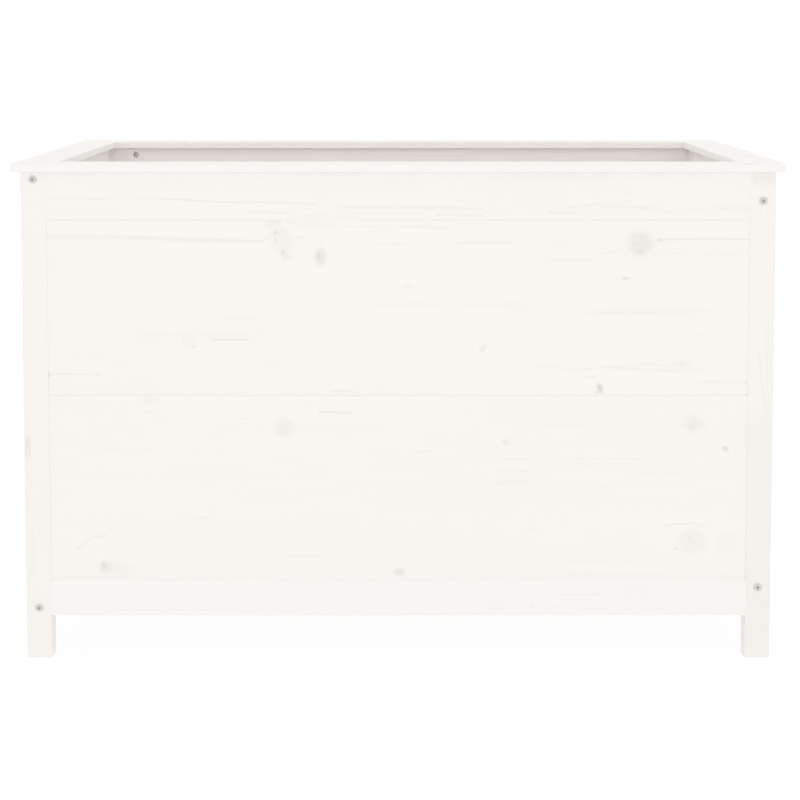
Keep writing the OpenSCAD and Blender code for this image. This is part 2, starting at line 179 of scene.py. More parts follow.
# How near a point is to a long edge of its piece, where the brush leaves less paint
WORN_OUTER = 1.6
worn_edge, at, give = group(
    "worn edge", {"vector": ("Place", "Half Size"), "number": ("Width",)}, {"number": ("Edge",)})
t = worn_edge
inward = vector(t, "SUBTRACT", at["Half Size"], vector(t, "ABSOLUTE", at["Place"]))
x, y, z = add(t, "SeparateXYZ", {0: inward}).outputs
nearest = calc(t, "MINIMUM", x, y)
second = calc(t, "MAXIMUM", nearest, calc(t, "MINIMUM", calc(t, "MAXIMUM", x, y), z))
ragged = calc(t, "MULTIPLY", cloud(t, at["Place"], (60.0, 60.0, 60.0), 3.0), at["Width"])
give("Edge", soft_step(t, second, calc(t, "MULTIPLY", ragged, WORN_OUTER), 0.0))

# Painted light: a whiter paint along the joints between rails, posts and boards, just under the
# rim, and on the faces that look into the bed, but not on the feet, lightening the shade that
# falls in these places. Distances are in metres, and the core of a joint is a share of its reach.
JOINT_CORE, JOINT_LIGHT = 0.15, 0.8
RIM_REACH, RIM_CORE, ABOVE_FALLS = 0.011, 0.002, 4.0
FACE_REACH = 0.003
FOOT_END, WALL_START = -0.001, 0.002
RAGGED_LEAST, RAGGED_MORE = 0.6, 0.8
painted_light_at_joints, at, give = group(
    "painted light at joints",
    {"vector": ("Place", "Corner"),
     "number": ("Lowest", "Under Rim", "Rail Low", "Rail High", "Reach", "Inside")},
    {"number": ("Painted Light",)})
t = painted_light_at_joints
ragged = cloud(t, at["Place"], (40.0, 40.0, 40.0), 3.0)
ragged = calc(t, "MULTIPLY_ADD", ragged, RAGGED_MORE, RAGGED_LEAST)
out_x, out_y, level = add(t, "SeparateXYZ", {
    0: vector(t, "SUBTRACT", vector(t, "ABSOLUTE", at["Place"]), at["Corner"])}).outputs
beside = calc(t, "MINIMUM", calc(t, "ABSOLUTE", out_x), calc(t, "ABSOLUTE", out_y))
past_rail = calc(t, "MINIMUM", out_x, out_y)
for joint in ("Rail Low", "Rail High"):
    from_joint = calc(t, "ABSOLUTE", calc(t, "SUBTRACT", level, at[joint]))
    beside = calc(t, "MINIMUM", beside, calc(t, "MAXIMUM", from_joint, past_rail))
beside = calc(t, "MULTIPLY", beside, ragged)
joined = soft_step(t, beside, at["Reach"], calc(t, "MULTIPLY", at["Reach"], JOINT_CORE))
joined = calc(t, "MULTIPLY", joined, JOINT_LIGHT)
above = calc(t, "SUBTRACT", level, at["Under Rim"])
above_rim = calc(t, "MULTIPLY", above, ABOVE_FALLS)
apart = calc(t, "MAXIMUM", above_rim, calc(t, "MULTIPLY", above, -1.0))
sheltered = soft_step(t, calc(t, "MULTIPLY", apart, ragged), RIM_REACH, RIM_CORE)
inside = soft_step(t, calc(t, "MAXIMUM", out_x, out_y), FACE_REACH, 0.0)
inside = calc(t, "MULTIPLY", inside, at["Inside"])
painted_light = calc(t, "MAXIMUM", inside, calc(t, "MAXIMUM", joined, sheltered))
over_feet = soft_step(t, calc(t, "SUBTRACT", level, at["Lowest"]), FOOT_END, WALL_START)
give("Painted Light", calc(t, "MULTIPLY", painted_light, over_feet))

# White paint in a thin coat, darker over the late wood, the knots and the worn edges, and a
# little smoother on the knots. The numbers say how much each of these adds.
PATCH_FAINT, PATCH_CLEAR = 0.72, 1.18
CLOUDY_DARKENS, FIBRE_DARKENS, EDGE_DARKENS = 0.028, 0.016, 0.03
ROUGH, CLOUDY_ROUGHENS, STAIN_SMOOTHS = 0.40, 0.12, -0.12
FIBRE_STANDS, BRUSH_STANDS = 0.35, 0.8
thin_paint, at, give = group(
    "thin paint",
    {"vector": ("Lay",), "colour": ("Paint", "Dark Paint"),
     "number": ("Grain", "Fibre", "Cloudy", "Tone", "Edge", "Grain Dark", "Base")},
    {"colour": ("Colour",), "number": ("Roughness", "Height")})
t = thin_paint
patches = cloud(t, at["Lay"], (110.0, 280.0, 280.0), 2.0)
patchy = soft_step(t, patches, 0.1, 0.8, PATCH_FAINT, PATCH_CLEAR)
stain = calc(t, "MULTIPLY", at["Tone"], patchy)
shade = calc(t, "MULTIPLY_ADD", at["Grain"], at["Grain Dark"], stain)
# Painted shade given to a whole piece, which darkens it all over
shade = calc(t, "ADD", shade, at["Base"])
cloudy = soft_step(t, at["Cloudy"], 0.35, 0.75)
shade = calc(t, "MULTIPLY_ADD", cloudy, CLOUDY_DARKENS, shade)
shade = calc(t, "MULTIPLY_ADD", at["Fibre"], FIBRE_DARKENS, shade)
shade = calc(t, "MULTIPLY_ADD", at["Edge"], EDGE_DARKENS, shade, clamp=True)
give("Colour", blend(t, shade, at["Paint"], at["Dark Paint"]))
rough = calc(t, "MULTIPLY_ADD", at["Cloudy"], CLOUDY_ROUGHENS, ROUGH)
give("Roughness", calc(t, "MULTIPLY_ADD", stain, STAIN_SMOOTHS, rough))
brushed = cloud(t, at["Lay"], (12.0, 420.0, 420.0), 2.0, 0.6)
brushed = calc(t, "MULTIPLY", brushed, BRUSH_STANDS)
give("Height", calc(t, "MULTIPLY_ADD", at["Fibre"], FIBRE_STANDS, brushed))

# Which of X, Y and Z runs along the grain, across the face and through the piece
UP_POST, ALONG_X, ALONG_Y, FLAT_X, FLAT_Y = (2, 0, 1), (0, 2, 1), (1, 2, 0), (0, 1, 2), (1, 0, 2)

# Where the rails end at the posts, and the heights at which the painted light is laid
RAIL_END = Vector((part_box("top_rail_front")[1].x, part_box("top_rail_right")[1].y, 0.0))
RAIL_LEVELS = {"Under Rim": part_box("rim_front")[0].z, "Rail Low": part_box("top_rail_front")[0].z,
               "Rail High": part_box("bottom_rail_front")[1].z,
               "Lowest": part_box("bottom_rail_front")[0].z}
NOISE_MIDDLE, ON_FACE = (0.5, 0.5, 0.5), (1.0, 1.0, 0.0)
KNOT_SWAY, STREAK_SWAY = (0.008, 0.005, 0.0), (0.0, 0.004, 0.0)
SEED_SHIFT = Vector((1.37, 0.71, 0.53))
WORN_WIDTH = 0.006


def swayed(tree, lay, own_lay, per_metre, detail, sway):
    """The place on the face, moved about by up to half of sway, so that no mark has a plain
    outline."""
    loose = cloud(tree, own_lay, per_metre, detail, output="Color")
    loose = vector(tree, "SUBTRACT", loose, NOISE_MIDDLE)
    return vector(tree, "MULTIPLY", vector(tree, "MULTIPLY_ADD", loose, sway, lay), ON_FACE)


def painted_pine(name, lie, knots, streaks, pith, seed, grain=0.05, painted_shade=0.0, paint=PAINT,
                 dark=PAINT_ON_KNOT, matt=0.0, painted_light=PAINTED_LIGHT_WHITE, corner=RAIL_END, reach=0.0012,
                 inside=0.1):
    """The finish of one piece, whose pith lies so far across and through from its middle, in
    metres. Knots are (along, across, half along, half across, turn in degrees, share that is
    fully dark, darkness, push on the rings) and streaks (along, across, along, across, half
    width, darkness), in millimetres of the bed's own frame."""
    low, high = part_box(name)
    centre, half = (low + high) / 2, (high - low) / 2
    finish = bpy.data.materials.new(name + "_paint")
    finish.use_nodes = True
    tree = finish.node_tree
    skin = tree.nodes["Principled BSDF"]
    here = add(tree, "TexCoord").outputs["Object"]
    xyz = add(tree, "SeparateXYZ", {0: here}).outputs
    lay = add(tree, "CombineXYZ", {i: xyz[axis] for i, axis in enumerate(lie)}).outputs[0]
    shift = SEED_SHIFT * seed
    own_lay = vector(tree, "ADD", lay, tuple(shift))
    tone, field = 0.0, 0.0
    knot_lay = swayed(tree, lay, own_lay, (45.0, 90.0, 90.0), 3.0, KNOT_SWAY)
    streak_lay = swayed(tree, lay, own_lay, (14.0, 30.0, 30.0), 2.0, STREAK_SWAY)
    for along, across, half_along, half_across, turn, core, darkness, push in knots:
        made = use(tree, knot_in_pine, {
            "Lay": knot_lay, "Place": (along * MM, across * MM, 0.0),
            "Half Size": (half_along * MM, half_across * MM, 1.0), "Turn": math.radians(turn),
            "Core": core, "Dark": darkness, "Push": push, "Tone": tone, "Field": field})
        tone, field = made["Tone"], made["Field"]
    for from_along, from_across, to_along, to_across, half_width, darkness in streaks:
        tone = use(tree, streak_in_pine, {
            "Lay": streak_lay, "From": (from_along * MM, from_across * MM, 0.0),
            "To": (to_along * MM, to_across * MM, 0.0), "Half Width": half_width * MM,
            "Dark": darkness, "Tone": tone})["Tone"]
    heart = (centre[lie[1]] + pith[0], centre[lie[2]] + pith[1])
    figure = use(tree, pine_figure, {
        "Lay": own_lay, "Pith": (0.0, shift[1] + heart[0], shift[2] + heart[1]), "Field": field})
    place = vector(tree, "SUBTRACT", here, tuple(centre))
    edge = use(tree, worn_edge, {
        "Place": place, "Half Size": tuple(half), "Width": WORN_WIDTH})["Edge"]
    # Painted light: how much whiter the paint is made, to lift the shade along joints, under the
    # rim and on inner faces
    painted_light_share = use(tree, painted_light_at_joints, {
        "Place": here, "Corner": tuple(corner), "Reach": reach, "Inside": inside,
        **RAIL_LEVELS})["Painted Light"]
    coat = use(tree, thin_paint, {
        "Lay": own_lay, "Paint": blend(tree, painted_light_share, paint, painted_light), "Dark Paint": dark,
        "Grain": figure["Grain"], "Fibre": figure["Fibre"], "Cloudy": figure["Cloudy"],
        "Tone": tone, "Edge": edge, "Grain Dark": grain, "Base": painted_shade})
    relief = add(tree, "Bump", {"Height": coat["Height"], "Strength": 0.15, "Distance": 0.0006})
    tree.links.new(coat["Colour"], skin.inputs["Base Color"])
    tree.links.new(calc(tree, "ADD", coat["Roughness"], matt), skin.inputs["Roughness"])
    tree.links.new(relief.outputs[0], skin.inputs["Normal"])
    skin.inputs["Specular IOR Level"].default_value = 0.35
    return finish


WELD_WITHIN = 0.00002
SHARP_EDGE = math.radians(40)


def dress(name, finish, arris=0.0):
    """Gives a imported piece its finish, and eases its sharp edges by arris."""
    piece = packed[name]
    piece.data.materials.clear()
    piece.data.materials.append(finish)
    joined = piece.modifiers.new("joined faces", "WELD")
    joined.merge_threshold = WELD_WITHIN
    if arris:
        eased = piece.modifiers.new("eased edges", "BEVEL")
        eased.width = arris
        eased.segments = 2
        eased.limit_method = "ANGLE"
        eased.loop_slide = False
        eased.angle_limit = SHARP_EDGE


KNOT_HALVES = (3.5, 4.5, 6.0, 8.0, 11.0)


def strewn(seed, low, high, knot_count, streak_count, size=1.0):
    """Knots and streaks strewn over a face from low to high, (along, across) in mm. Each knot
    is three ovals: a faint halo, the knot itself, and its darker heart."""
    draw = random.Random(seed)
    knots, streaks = [], []
    for _ in range(knot_count):
        along, across = draw.uniform(low[0], high[0]), draw.uniform(low[1], high[1])
        half = draw.choice(KNOT_HALVES) * size
        long = half * draw.uniform(0.8, 1.6)
        turn, darkness = draw.uniform(-25, 25), draw.uniform(0.2, 0.62)
        knots.append((along, across, long * 2.3, half * 1.7, turn, 0.15, darkness * 0.3, 0.0))
        knots.append((along, across, long, half, turn, 0.55, darkness, half * 0.3))
        knots.append((along - long * 0.2, across, long * 0.45, half * 0.6, turn, 0.3,
                      min(darkness * 1.5, 0.95), 0.0))
    for _ in range(streak_count):
        along, across = draw.uniform(low[0], high[0]), draw.uniform(low[1], high[1])
        run = draw.uniform(30, 260)
        end = (along + run, across + run * draw.uniform(-0.02, 0.02))
        streaks.append((along, across, *end, draw.uniform(0.7, 2.2), draw.uniform(0.06, 0.2)))
    return knots, streaks


def strewn_over(name, lie, seed, knot_count, streak_count, size=1.0, end=0, side=0):
    """Knots and streaks strewn over a piece, so far from its ends and sides, in mm."""
    (along, across, _), (low, high) = lie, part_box(name)
    face_low = (low[along] / MM + end, low[across] / MM + side)
    face_high = (high[along] / MM - end, high[across] / MM - side)
    return strewn(seed, face_low, face_high, knot_count, streak_count, size)


post_marks = {
    "post_front_left": (
        [(336, -579, 28, 6, 0, 0.3, 0.26, 1.0), (345, -580, 9, 3, 0, 0.2, 0.3, 0.0)],
        [(560, -560, 640, -561, 1.0, 0.06), (130, -572, 250, -574, 1.2, 0.06)]),
    "post_front_right": (
        # Soft darker patches on this post, one at its top just under the rim and one over its lower
        # half, are given as knots
        [(757, 565, 15, 22, 0, 0.6, 0.13, 0.0), (190, 565, 200, 42, 0, 0.9, 0.085, 0.0)],
        [(489, 561.9, 390, 572.6, 1.0, 0.2), (520, 575.5, 300, 574.5, 1.2, 0.12),
         (640, 556, 560, 556.5, 0.9, 0.07)]),
}
posts = ("post_front_left", "post_front_right", "post_rear_right", "post_rear_left")
MARKS_FROM, MARKS_TO, MARKS_IN = 60, 740, 4
ARRIS = 0.0002
for seed, name in enumerate(posts, 1):
    low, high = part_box(name)
    face_low, face_high = (MARKS_FROM, low.x / MM + MARKS_IN), (MARKS_TO, high.x / MM - MARKS_IN)
    strewn_marks = strewn(seed, face_low, face_high, knot_count=2, streak_count=4, size=0.7)
    knots, streaks = post_marks.get(name, strewn_marks)
    # Painted shade: the posts' paint is made a little darker all over, so that they come out no
    # brighter than the walls beside them
    finish = painted_pine(name, UP_POST, knots, streaks, (0.05, 0.06), seed, painted_shade=0.04)
    dress(name, finish, ARRIS)

# Rails. A top and a bottom rail of planed pine close each wall between its two posts, flush
# with them. Each end is held by one bolt and kept from turning by one dowel, and a groove in
# the edge holds the wall boards.
# Painted light and shade: the bottom rails get a whiter paint, and the top rails a little painted
# shade, so that the walls don't come out darker near the ground, where less light reaches them
PAINT_WITH_PAINTED_LIGHT = (0.957, 0.923, 0.895, 1.0)
top_front_streaks = [
    (-542.3, 724.4, -361.1, 724.4, 1.1, 0.1), (-361.1, 724.0, -245.0, 719.0, 1.3, 0.2),
    (-245.0, 719.0, -125.8, 717.5, 1.4, 0.18), (-508, 762, -470, 762, 1.6, 0.12),
    (245.9, 708.9, 310, 718, 1.2, 0.12), (310, 718, 374.3, 722.8, 1.2, 0.1),
    (312.5, 715.1, 405.5, 709.3, 2.6, 0.09), (397.7, 704.2, 544.8, 712.0, 2.0, 0.06),
    (-229.6, 704.2, -167.7, 702.7, 1.6, 0.13), (-94.8, 713.0, 126.6, 709.2, 2.4, 0.12),
    (-94.8, 704, 40, 703, 1.0, 0.1), (349, 732, 360, 732, 1.0, 0.14),
    (234, 704, 275, 704, 1.6, 0.16), (0, 714, 90, 712, 1.1, 0.12), (60, 700, 130, 699, 1.5, 0.16),
    (-150, 698, -60, 697, 1.2, 0.12), (486, 713, 545, 706, 3.2, 0.09),
]
bottom_front_streaks = [
    (240.2, 100.9, 317.2, 100.9, 1.2, 0.1), (139.6, 78.2, 254.4, 83.0, 1.0, 0.09),
    (208.8, 83.0, 330.0, 78.2, 1.0, 0.09), (-546.7, 75.0, -509.0, 70.2, 1.4, 0.1),
    (-509.0, 70.2, -466.5, 70.2, 1.4, 0.1), (-420, 96, -250, 97, 0.8, 0.05),
]
bottom_front_knots = [(209, 84, 4, 3, 0, 0.3, 0.2, 0.8), (152, 88, 18, 8, 0, 0.2, 0.09, 0.6)]
top_rear_streaks = [
    (-420, 757, -240, 756, 1.2, 0.12), (-60, 752, 130, 753, 1.4, 0.1),
    (250, 760, 400, 759, 1.2, 0.12), (-500, 730, -300, 731, 1.5, 0.14),
    (40, 722, 300, 724, 1.6, 0.12), (-180, 708, -20, 707, 1.4, 0.12),
]
rail_marks = {"top_rail_front": ([], top_front_streaks), "top_rail_rear": ([], top_rear_streaks),
              "bottom_rail_front": (bottom_front_knots, bottom_front_streaks)}
WALLS = {"front": ALONG_X, "right": ALONG_Y, "rear": ALONG_X, "left": ALONG_Y}
rails = [(level, wall) for level in ("top_rail_", "bottom_rail_") for wall in WALLS]
for seed, (level, wall) in enumerate(rails, 11):
    name, lie = level + wall, WALLS[wall]
    strewn_marks = strewn_over(name, lie, seed, knot_count=3, streak_count=7, size=0.7, side=6)
    knots, streaks = rail_marks.get(name, strewn_marks)
    # Top rails get painted shade, bottom rails the whiter paint of painted light
    painted_shade, paint = (0.03, PAINT) if level == "top_rail_" else (0.0, PAINT_WITH_PAINTED_LIGHT)
    finish = painted_pine(name, lie, knots, streaks, (0.015, 0.08), seed, painted_shade=painted_shade, paint=paint)
    dress(name, finish, ARRIS)

# Wall boards. Two wide boards fill each wall: the lower one stands in the bottom rail's groove
# and carries a tongue, on which the upper one sits, and a small bevel on each side marks the
# seam between them.
upper_front_knots = [
    # Knot with a hooked tail, and the leaning one beside it
    (-193, 686, 17, 14, 0, 0.3, 0.17, 0.0), (-182, 662, 24, 36, -30, 0.2, 0.16, 2.5),
    (-190.5, 672.5, 6.5, 5, 0, 0.1, 0.48, 0.0), (-190.5, 661, 4.2, 11, 0, 0.1, 0.4, 0.0),
    (-178.2, 641, 4.6, 7.5, 28, 0.1, 0.64, 1.5), (-174, 637, 12, 16, 20, 0.1, 0.24, 0.0),
    # Dark upright knot
    (-120.5, 635.5, 12.5, 17, 0, 0.45, 0.33, 2.6), (-123.5, 636, 4.8, 12, 0, 0.2, 0.62, 0.0),
    (-118, 631, 3, 8, -20, 0.1, 0.44, 0.0),
    # Large mottled knot and the dot beside it
    (375, 655, 27, 26, 8, 0.35, 0.31, 3.6), (367, 656, 8, 17, 8, 0.1, 0.36, 0.0),
    (375, 643, 11, 8, 0, 0.15, 0.52, 0.0), (385, 650, 5, 9, 38, 0.1, 0.42, 0.0),
    (375, 664, 7, 4, -20, 0.1, 0.36, 0.0), (388, 666, 7, 5, 30, 0.1, 0.24, 0.0),
    (406, 660.6, 9, 4.2, 0, 0.2, 0.45, 0.0),
    # Small ones
    (132.1, 491.5, 6.5, 6, 0, 0.6, 0.26, 1.2), (315.0, 428.5, 6.6, 9.5, -18, 0.25, 0.72, 2.0),
    (309, 423, 5, 4, 0, 0.2, 0.45, 0.0), (-324.6, 500.9, 16, 16, 0, 0.15, 0.13, 1.5),
    (-318.5, 494.5, 3.6, 3.6, 0, 0.4, 0.34, 0.0), (-329, 511, 9, 6, 0, 0.3, 0.16, 0.0),
    (354.1, 601.1, 7, 3.2, 8, 0.3, 0.4, 0.8), (15.1, 588.6, 9, 6, 0, 0.3, 0.09, 0.0),
    (-5.1, 654.2, 7, 5, 0, 0.3, 0.12, 0.0), (-535, 628, 14, 12, 0, 0.3, 0.04, 0.0),
    (440, 467, 22, 6, 0, 0.4, 0.16, 0.8),
]
upper_front_streaks = [
    (-546, 666.2, -470, 665.3, 4.2, 0.14), (-470, 665.3, -307.7, 661.6, 3.6, 0.15),
    (-307.7, 661.6, -211.5, 658.8, 2.6, 0.17), (-211.5, 658.8, -196.5, 669.5, 2.4, 0.17),
    (-172, 690, -140, 680, 2.2, 0.14), (-186, 668, -140, 664, 1.8, 0.13),
    (-212, 694, -160, 697, 2.0, 0.14), (-150, 684, -98, 684, 4.5, 0.1),
    (412, 661.4, 546, 662.2, 1.5, 0.24), (313.3, 638.6, 347.4, 646.4, 1.2, 0.12),
    (347.5, 641.7, 543.2, 638.6, 1.2, 0.09), (-36.1, 654.2, 18.2, 655.7, 1.2, 0.12),
    (94, 656, 175, 655.6, 1.8, 0.13), (18, 655.7, 60, 656, 1.0, 0.07),
    (240, 656, 262, 656, 1.0, 0.1), (-82.6, 682.2, 80.3, 680.6, 1.4, 0.11),
    (-40, 676, -8, 676, 1.8, 0.09), (100, 686, 140, 686, 1.0, 0.1),
    (-298.0, 515.1, -287.2, 505.6, 1.8, 0.17), (-287.2, 505.0, -234.2, 505.0, 2.0, 0.27),
    (-269.8, 537.8, -223.1, 538.6, 1.2, 0.16), (-546.6, 452.4, -465.5, 450.0, 1.6, 0.16),
    (-547, 458, -544, 448, 2.2, 0.3), (-474, 480, -464, 480, 1.3, 0.12),
    (255.5, 456.9, 377.1, 464.8, 1.4, 0.12), (377.1, 468.5, 478.6, 455.9, 2.6, 0.08),
    (330, 461, 440, 455, 1.6, 0.12), (199.4, 434.9, 307.2, 430.2, 1.0, 0.08),
    (330.6, 433.3, 544.4, 439.6, 1.2, 0.06), (480, 440, 546, 436, 2.4, 0.12),
    (292, 447, 312, 447, 1.0, 0.12), (-103.5, 423.9, -82, 425, 1.4, 0.18),
    (-82, 425, -62.9, 420.7, 1.4, 0.16), (-395, 420, -340, 420, 1.1, 0.08),
    (216, 463, 256, 463, 1.6, 0.12), (225, 631.5, 300, 630.5, 1.2, 0.11),
    (460, 514, 500, 514, 1.6, 0.06), (-253, 473, -190, 473.5, 3.0, 0.04),
    (100, 560, 200, 560, 4.0, 0.05), (300, 548, 480, 548, 4.0, 0.05),
    (-30, 560, 60, 560, 4.0, 0.05), (-400, 512, -240, 512, 4.5, 0.05),
]
lower_front_knots = [
    (-386.3, 409.7, 18, 8, 0, 0.2, 0.17, 0.6), (-178.7, 366.1, 21, 19, 0, 0.4, 0.17, 1.5),
    (-178.7, 357, 4.2, 4.2, 0, 0.3, 0.22, 0.0), (462.4, 371.8, 25, 20, 0, 0.2, 0.14, 2.2),
    (462.4, 371.8, 13, 13, 0, 0.5, 0.22, 0.0), (458, 366, 6, 7, 20, 0.3, 0.32, 0.0),
    (167.0, 343.3, 7, 6.5, 0, 0.4, 0.26, 0.9), (511.4, 333.0, 6.2, 5.6, 0, 0.4, 0.5, 1.0),
    (-462.9, 146.9, 6, 9, 8, 0.4, 0.52, 1.6), (-444, 142.9, 40, 17, 6, 0.1, 0.16, 0.0),
    (-458, 144, 15, 14, 0, 0.3, 0.26, 0.0), (1.1, 136.6, 10, 8, 0, 0.4, 0.34, 1.1),
    (461.4, 186.1, 27, 26, 0, 0.5, 0.14, 2.5), (457, 192, 4, 4, 0, 0.3, 0.34, 0.0),
    (436, 174, 3.6, 3.6, 0, 0.3, 0.3, 0.0), (516, 182, 25, 22, 0, 0.4, 0.08, 0.0),
]
lower_front_streaks = [
    (-122.4, 392.0, -72.4, 389.7, 2.2, 0.25), (26.1, 327.5, 49.6, 329.1, 1.2, 0.14),
    (156.1, 316.4, 206.2, 316.4, 1.2, 0.13), (159.3, 299.0, 206.3, 297.4, 1.2, 0.13),
    (156.3, 279.9, 203.3, 281.5, 1.2, 0.12), (-323.8, 222.7, -292.4, 224.3, 1.1, 0.13),
    (-505.0, 171.7, -484.3, 190.8, 1.6, 0.14), (-484.3, 190.8, -459.1, 195.6, 1.6, 0.14),
    (-522.9, 128.0, -419.0, 129.5, 2.0, 0.12), (-267.5, 203.6, -214.1, 205.2, 1.2, 0.06),
    (276.7, 318.0, 378.5, 316.4, 1.3, 0.1), (159.9, 155.7, 380.0, 152.5, 1.6, 0.05),
    (270.1, 131.8, 545.5, 128.6, 4.0, 0.06), (420, 212, 462, 215, 1.6, 0.17),
    (462, 215, 486, 210, 1.6, 0.14), (-246, 381, -232, 381, 1.2, 0.12),
    (295, 442, 300, 442, 1.0, 0.1), (-394, 392, -382, 392, 1.2, 0.14),
    (438, 514, 545, 513, 1.0, 0.06), (-420, 232, -405, 232, 1.1, 0.12),
    (-300, 239, -290, 239, 1.1, 0.1), (204, 205, 218, 205, 1.2, 0.14),
    (-183, 163, -113, 163, 1.2, 0.09), (220, 370, 300, 369, 2.6, 0.05),
    (-360, 300, -240, 301, 3.0, 0.04), (-60, 250, 80, 249, 3.0, 0.04),
    (300, 250, 420, 249, 3.0, 0.05), (-480, 330, -380, 331, 2.6, 0.04),
]
board_marks = {"upper_board_front": (upper_front_knots, upper_front_streaks),
               "lower_board_front": (lower_front_knots, lower_front_streaks)}
KNOT_EVERY, STREAK_EVERY = 140, 60
boards = [(level, wall) for level in ("upper_board_", "lower_board_") for wall in WALLS]
for seed, (level, wall) in enumerate(boards, 21):
    name, lie = level + wall, WALLS[wall]
    low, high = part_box(name)
    length = (high[lie[0]] - low[lie[0]]) / MM
    strewn_marks = strewn_over(name, lie, seed, round(length / KNOT_EVERY),
                               round(length / STREAK_EVERY), side=12)
    knots, streaks = board_marks.get(name, strewn_marks)
    # The boards' painted light along the joints reaches farther, as they lie back from rails and
    # posts
    dress(name, painted_pine(name, lie, knots, streaks, (0.03, 0.11), seed, reach=0.003))

# Floor. Four bearers are screwed to the inner faces of the bottom rails, a middle bearer is
# halved onto the short ones, and eleven slats lie across them, with gaps that let water out.
# They are planed pine with one matt coat of white, thinner than on the walls.
THIN_PAINT = (0.905, 0.862, 0.805, 1.0)
THIN_PAINT_ON_KNOT = (0.520, 0.450, 0.370, 1.0)
FLOOR_ARRIS = 0.0005
bearers = ["bearer_" + side for side in ("front", "right", "rear", "left", "middle")]
slats = ["floor_slat_%d" % number for number in range(1, 12)]
for seed, name in enumerate(bearers + slats, 40):
    low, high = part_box(name)
    lie = FLAT_X if high.x - low.x > high.y - low.y else FLAT_Y
    knots, streaks = strewn_over(name, lie, seed, knot_count=3, streak_count=5, size=0.8, side=4)
    finish = painted_pine(name, lie, knots, streaks, (0.01, -0.05), seed, grain=0.16, matt=0.12,
                          paint=THIN_PAINT, dark=THIN_PAINT_ON_KNOT, painted_light=THIN_PAINT)
    dress(name, finish, FLOOR_ARRIS)

# Rim. Four boards of planed pine with rounded edges lie flat on the posts and the top rails,
# mitred at the corners. Dowels hold them from below, so that no screw shows.
rim_marks = {"rim_front": ([], [
    (-560, -400, -380, -401, 1.2, 0.06), (-240, -388, 20, -387, 1.4, 0.07),
    (130, -405, 330, -404, 1.3, 0.06), (420, -380, 560, -379, 1.2, 0.07)])}
RIM_INNER = Vector((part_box("rim_right")[0].x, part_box("rim_rear")[0].y, 0.0))
RIM_ARRIS = 0.00015
for seed, wall in enumerate(WALLS, 60):
    name, lie = "rim_" + wall, FLAT_X if wall in ("front", "rear") else FLAT_Y
    strewn_marks = strewn_over(name, lie, seed, knot_count=3, streak_count=7, size=0.6, end=60,
                               side=8)
    knots, streaks = rim_marks.get(name, strewn_marks)
    # The rim's faces that look into the bed, and its lowest edge, get strong painted light to lift
    # their shade
    finish = painted_pine(name, lie, knots, streaks, (0.02, -0.07), seed, corner=RIM_INNER,
                          reach=0.0, inside=0.9)
    dress(name, finish, RIM_ARRIS)

# Dowels. Plain turned pins of beech: one in each end of every rail beside its bolt, and a row
# under each rim board. They are glued in their holes and hardly show.
BEECH, BEECH_PORE = (0.60, 0.43, 0.26, 1.0), (0.40, 0.26, 0.14, 1.0)
beech = bpy.data.materials.new("turned_beech")
beech.use_nodes = True
tree = beech.node_tree
skin = tree.nodes["Principled BSDF"]
here = add(tree, "TexCoord").outputs["Object"]
flecks = soft_step(tree, cloud(tree, here, (900.0, 900.0, 900.0), 3.0), 0.45, 0.72)
bands = cloud(tree, here, (160.0, 160.0, 160.0), 2.0)
tone = calc(tree, "MULTIPLY_ADD", flecks, 0.4, calc(tree, "MULTIPLY", bands, 0.45))
tree.links.new(blend(tree, tone, BEECH, BEECH_PORE), skin.inputs["Base Color"])
tree.links.new(soft_step(tree, flecks, 0.0, 1.0, 0.5, 0.68), skin.inputs["Roughness"])
pores = add(tree, "Bump", {"Height": flecks, "Strength": 0.3, "Distance": 0.0003})
tree.links.new(pores.outputs[0], skin.inputs["Normal"])
for name in ("top_rail_dowels", "bottom_rail_dowels", "rim_dowels"):
    dress(name, beech)

# Bolts. Sixteen zinc-plated steel bolts with low domed heads and hexagon sockets, two on each
# face of every corner. Each passes through a post into the end of a rail, and the two faces'
# bolts are staggered so that they pass each other. Sizes of metal pieces are in millimetres.
BODY = "root"
ZINC_PLATE, ZINC_WORN, IN_SOCKET = (
    (0.75, 0.735, 0.71, 1.0), (0.65, 0.635, 0.61, 1.0), (0.56, 0.545, 0.52, 1.0))
OWN_PLACE = "own_place"
SIDES = 48
CORNER_X, CORNER_Y, POST_HALF = 565.0, 380.0, 19.5
BOLT_HEIGHTS = {"top": (755.0, 722.0), "bottom": (80.0, 113.0)}
BOLT_LENGTH, BOLT_R, HEAD_R = 100.0, 3.0, 6.0
SOCKET_WIDE, SOCKET_FLOOR = 4.0, 0.6
NEARLY_NONE = 1e-6


def hexagon(across):
    """Half the width of a hexagon towards an angle."""
    return lambda angle: across / 2 / math.cos((angle + math.pi / 6) % (math.pi / 3) - math.pi / 6)


def cross(reach, half_width):
    """Half the width of a cross recess towards an angle."""
    def width(angle):
        c, s = abs(math.cos(angle)), abs(math.sin(angle))
        return min(reach / max(c, s), half_width / max(min(c, s), NEARLY_NONE))
    return width


def slot_mouth(radius, half_width):
    """Half the width of a straight slot towards an angle."""
    return lambda angle: min(radius, half_width / max(abs(math.sin(angle)), NEARLY_NONE))


def turned_piece(stations):
    """The points and faces of a piece made about Z from (radius or width by angle, height).
    Both ends close on a middle point."""
    points, faces = [], []
    for width, height in stations:
        for k in range(SIDES):
            angle = 2 * math.pi * k / SIDES
            r = width(angle) if callable(width) else width
            points.append((r * math.cos(angle), r * math.sin(angle), height))
    for n in range(len(stations) - 1):
        for k in range(SIDES):
            a, b = n * SIDES + k, n * SIDES + (k + 1) % SIDES
            faces.append((a, b, b + SIDES, a + SIDES))
    last = (len(stations) - 1) * SIDES
    points += [(0.0, 0.0, stations[0][1]), (0.0, 0.0, stations[-1][1])]
    for k in range(SIDES):
        after = (k + 1) % SIDES
        faces.append((len(points) - 2, after, k))
        faces.append((len(points) - 1, last + k, last + after))
    return points, faces


